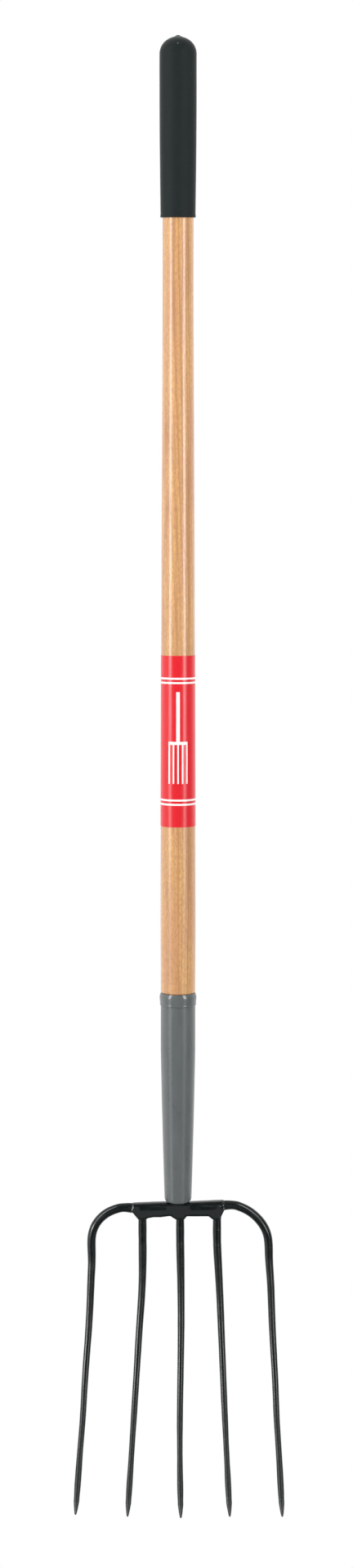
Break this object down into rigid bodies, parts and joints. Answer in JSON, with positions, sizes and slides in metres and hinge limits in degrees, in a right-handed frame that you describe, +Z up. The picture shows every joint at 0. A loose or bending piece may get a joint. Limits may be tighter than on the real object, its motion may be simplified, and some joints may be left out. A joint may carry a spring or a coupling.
{
  "type": "hay fork",
  "caption": "Long-handled hay fork: straight wooden handle with domed vinyl end grip and film label, long steel cap ferrule, and a forged head of round, forward-curved pointed tines.",
  "frame": {"origin": "on the handle's axis, level with the top of the head's shoulders, between the two pegs that the fork hangs on", "axes": "+Z up the handle from head to grip, -Y towards the front, which is the side that the tines curve to, +X to the right seen from the front"},
  "size_m": [0.2239, 0.0693, 1.55],
  "materials": {
    "ash_wood": "clear lacquer",
    "grip_vinyl": "matte moulded vinyl",
    "label_film": "glossy printed film",
    "ferrule_paint": "satin grey paint",
    "nail_steel": "plain steel",
    "head_enamel": "semi-gloss black enamel over forged steel"
  },
  "bodies": {
    "root": {"wood_handle": "ash_wood", "end_grip": "grip_vinyl", "label_sleeve": "label_film", "ferrule": "ferrule_paint", "retaining_nail": "nail_steel", "fork_head": "head_enamel"}
  },
  "joints": []
}
